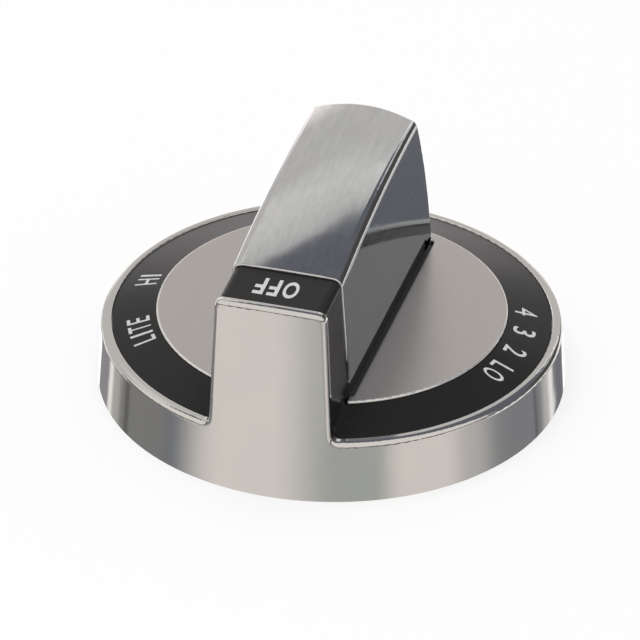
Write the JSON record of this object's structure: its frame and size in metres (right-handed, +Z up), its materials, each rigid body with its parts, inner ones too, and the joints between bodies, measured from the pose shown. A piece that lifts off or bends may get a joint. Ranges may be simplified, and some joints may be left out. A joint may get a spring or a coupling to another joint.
{
  "type": "control knob",
  "caption": "Round cooktop burner knob with a tall bar grip, a black dial ring, a raised front tab and a D-shaped shaft socket underneath.",
  "frame": {"origin": "bottom centre of the round skirt, on its axis and in the plane of its lower edge", "axes": "+Z up along the turning axis, away from the panel; the bar grip runs along Y; -Y is the OFF tab's side; +X is to the right when the tab faces the viewer"},
  "size_m": [0.06, 0.06, 0.0312],
  "materials": {
    "skirt_metal": "satin",
    "cap_metal": "satin",
    "band_black": "satin",
    "core_black": "satin",
    "collar_steel": "plain rolled",
    "spring_steel": "plain rolled",
    "screw_steel": "zinc plated"
  },
  "bodies": {
    "root": {"skirt_shell": "skirt_metal", "dial_band": "band_black", "grip_cap": "cap_metal", "core_body": "core_black", "hub_collar": "collar_steel", "shaft_spring": "spring_steel", "core_screw_1": "screw_steel", "core_screw_2": "screw_steel", "core_screw_3": "screw_steel", "core_screw_4": "screw_steel"}
  },
  "joints": []
}
